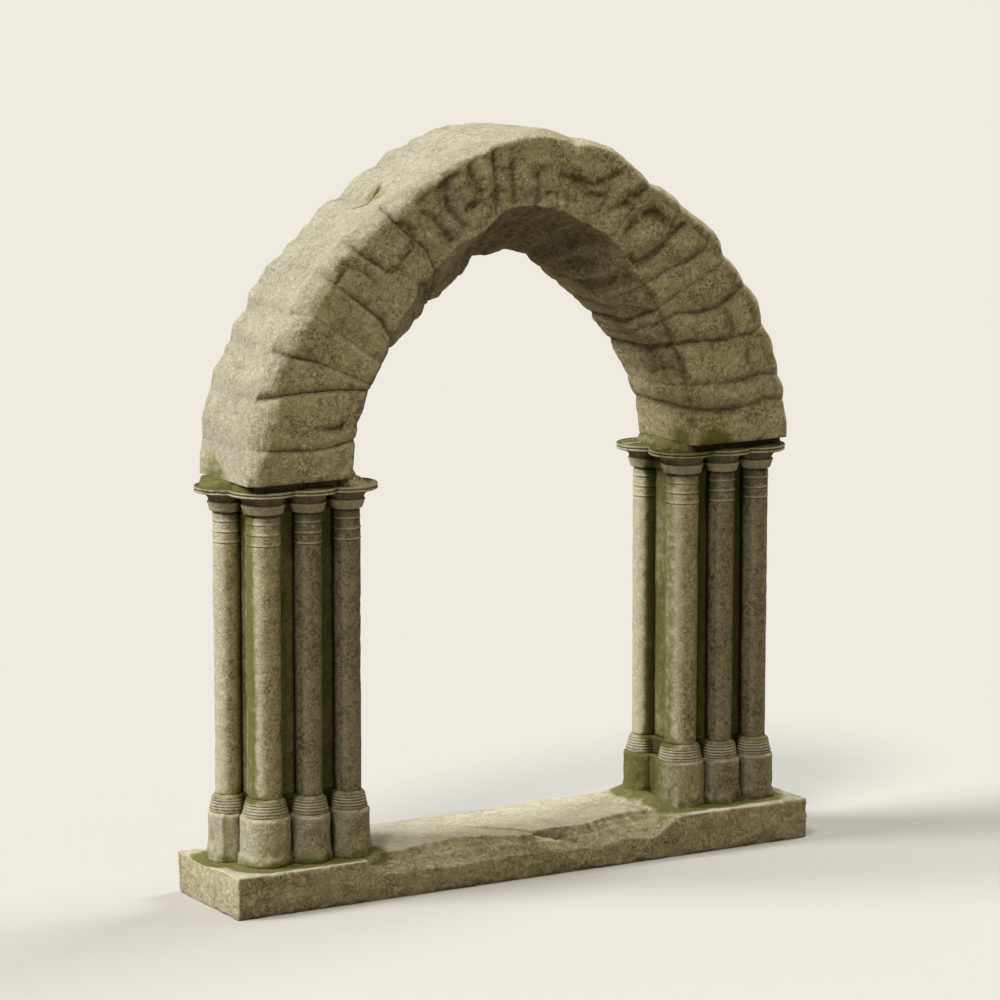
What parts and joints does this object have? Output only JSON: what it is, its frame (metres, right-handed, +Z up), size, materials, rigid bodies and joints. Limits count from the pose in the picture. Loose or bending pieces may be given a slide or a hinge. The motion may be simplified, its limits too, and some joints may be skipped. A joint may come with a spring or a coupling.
{
  "type": "stone arch",
  "caption": "Weathered freestanding stone arch: a round ring of rough wedge stones on two clustered-shaft piers that stand on one long sill slab.",
  "frame": {"origin": "middle of the sill slab's underside, on the ground", "axes": "+X along the sill towards the viewer's right when facing the front, +Y towards the back, +Z up"},
  "size_m": [3, 0.6, 3.3938],
  "materials": {
    "sill_stone": "weathered matte limestone with moss round the piers",
    "socle_stone": "weathered matte limestone, mossy at the foot",
    "core_stone": "damp mossy limestone",
    "shaft_stone": "weathered matte limestone",
    "capital_stone": "weathered matte limestone, mossy on top",
    "ring_stone": "rough pitted limestone with worn rounded arrises"
  },
  "bodies": {
    "root": {"sill": "sill_stone", "left_socle": "socle_stone", "left_base_course": "socle_stone", "left_core": "core_stone", "left_corner_shaft": "shaft_stone", "left_front_shaft_1": "shaft_stone", "left_front_shaft_2": "shaft_stone", "left_end_shaft": "shaft_stone", "left_rear_shaft_1": "shaft_stone", "left_rear_shaft_2": "shaft_stone", "left_capital": "capital_stone", "left_abacus": "capital_stone", "right_socle": "socle_stone", "right_base_course": "socle_stone", "right_core": "core_stone", "right_corner_shaft": "shaft_stone", "right_front_shaft_1": "shaft_stone", "right_front_shaft_2": "shaft_stone", "right_end_shaft": "shaft_stone", "right_rear_shaft_1": "shaft_stone", "right_rear_shaft_2": "shaft_stone", "right_capital": "capital_stone", "right_abacus": "capital_stone", "left_springer": "ring_stone", "left_voussoir_1": "ring_stone", "left_voussoir_2": "ring_stone", "left_voussoir_3": "ring_stone", "left_voussoir_4": "ring_stone", "left_voussoir_5": "ring_stone", "left_voussoir_6": "ring_stone", "left_voussoir_7": "ring_stone", "left_voussoir_8": "ring_stone", "left_voussoir_9": "ring_stone", "keystone": "ring_stone", "right_voussoir_1": "ring_stone", "right_voussoir_2": "ring_stone", "right_voussoir_3": "ring_stone", "right_voussoir_4": "ring_stone", "right_voussoir_5": "ring_stone", "right_voussoir_6": "ring_stone", "right_voussoir_7": "ring_stone", "right_voussoir_8": "ring_stone", "right_voussoir_9": "ring_stone", "right_voussoir_10": "ring_stone", "right_springer": "ring_stone"}
  },
  "joints": []
}
